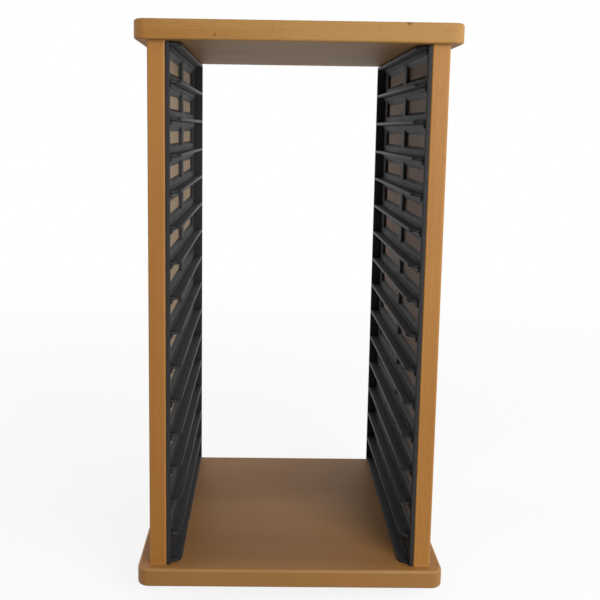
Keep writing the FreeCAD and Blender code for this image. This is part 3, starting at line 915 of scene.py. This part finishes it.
# %% Three kinds of screw
base_shank, base_head, base_length, rack_length = 1.75, 3.5, 35.0, 8.0
head_edge, head_rings, row_spacing = 0.08, 13, 0.22
below_cone, above_point = 0.4, 0.1
shoulder_width, shoulder_height = 0.8, 0.7
rack_thread, rack_recess = (1.9, 6.4), (1.5, 0.55, 0.9, 0.01)
base_thread, base_recess = (2.3, 33.0), (1.9, 0.7, 1.2, 0.01)


def countersunk(shank, head, length):
    """Outline of a flat-headed screw: head face, cone of 90 degrees, shank and point.

    The point has a shoulder, whose width and height are shares of the shank's radius.
    """
    cone = head - shank
    turns = np.linspace(cone + below_cone, length - shank - above_point,
                        int((length - cone) / row_spacing))
    return np.concatenate([
        np.stack([np.linspace(0, head - head_edge, head_rings), np.zeros(head_rings)], axis=1),
        [(head, head_edge), (shank, cone)],
        np.stack([np.full_like(turns, shank), turns], axis=1),
        [(shoulder_width * shank, length - shoulder_height * shank), (0.0, length)]])


rack_screw = screw(countersunk(rack_shank, rack_head, rack_length), rack_thread, rack_recess)
base_screw = screw(countersunk(base_shank, base_head, base_length), base_thread, base_recess)

# a pan head stands on the swivel's plate: its crown falls with the cube of the radius
pan_shank, pan_head, plate_gauge = 1.75, 3.5, 1.2
pan_top, pan_fall, pan_point = -3.2, 1.1, 6.8
pan_thread, pan_recess = (-0.8, 4.8), (1.9, 0.7, 1.1, -2.0)
pan_turns = np.linspace(-0.9, 4.9, 28)
crown = np.linspace(0, 1, head_rings)
pan_outline = np.concatenate([
    np.stack([pan_head * crown, pan_top + pan_fall * crown ** 3], axis=1),
    [(pan_head, -plate_gauge), (pan_shank, -plate_gauge)],
    np.stack([np.full_like(pan_turns, pan_shank), pan_turns], axis=1),
    [(1.3, pan_point - 1.0), (0.0, pan_point)]])
pan_screw = screw(pan_outline, pan_thread, pan_recess)
print("screw grids:", rack_screw.shape[:2], base_screw.shape[:2], pan_screw.shape[:2])


# %% Screws in place
def middle(node):
    """Middle of a solid's box in mm."""
    low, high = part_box(node)
    return np.array(low + high) / 2 / MM


underside_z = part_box("base_panel")[0][2] / MM
base_spacing = 90.0
rack_screw_levels = slot_floors[screw_slots] + rack_screw_z
lying_screw = np.stack([rack_screw[..., 2], rack_screw[..., 0], rack_screw[..., 1]], axis=-1)
for side, sign in sides:
    heads = lying_screw + [face_x, rack_screw_y, 0] + raised(rack_screw_levels)
    piece(side + "_rack_screw_set", [shells(heads * [sign, 1, 1])], black_screw, "tower",
          [side + "_rack_screws"])
    x, y = middle(side + "_base_screws")[:2]
    lower = np.stack([base_screw + [x, y + shift, underside_z]
                      for shift in (-base_spacing / 2, base_spacing / 2)])
    piece(side + "_base_screw_set", [shells(lower)], zinc_screw, "tower",
          [side + "_base_screws"])
corner_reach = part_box("swivel_screws")[1][0] / MM - pan_head
pan_screws = np.stack([pan_screw + [x, y, underside_z] for y in (-corner_reach, corner_reach)
                       for x in (-corner_reach, corner_reach)])
piece("swivel_screw_set", [shells(pan_screws)], zinc_screw, "tower", ["swivel_screws"])

# %% [markdown]
# ## Rubber feet
#
# Four rubber feet are pushed through the swivel's lower plate and snap over it with a barbed plug. A
# moulded foot has a soft outer edge and a shallow dish below, so that it grips on a ring. It is
# turned from one profile.

# %% Feet
foot_radius, foot_height, foot_edge = 7.0, 4.6, 0.8
plate_under_z, plate_over_z, neck_radius = 2.0, 3.2, 1.98
foot_outline = np.concatenate([
    # from the middle of the dish to the ring that the foot stands on
    [(0, 0.4), (3.2, 0.4), (3.6, 0.1), (3.9, 0.0)],
    [(foot_radius - foot_edge, 0.0)],
    # the soft outer edge, up to the plate's underside
    arc((foot_radius - foot_edge, foot_edge), foot_edge, -90, 0, 6),
    [(foot_radius, plate_under_z - 0.25), (foot_radius - 0.2, plate_under_z)],
    # the neck in the plate's hole, and the barb over it
    [(neck_radius, plate_under_z), (neck_radius, plate_over_z)],
    [(3.1, plate_over_z), (3.2, plate_over_z + 0.1), (2.3, foot_height - 0.2)],
    [(1.9, foot_height), (0, foot_height)]])
foot_grid = turned(foot_outline, round_spokes)
for corner in ("front_left", "front_right", "back_left", "back_right"):
    x, y = middle(corner + "_foot")[:2]
    piece(corner + "_rubber_foot", [shells(foot_grid[None] + [x, y, 0])], rubber, "foot",
          [corner + "_foot"])
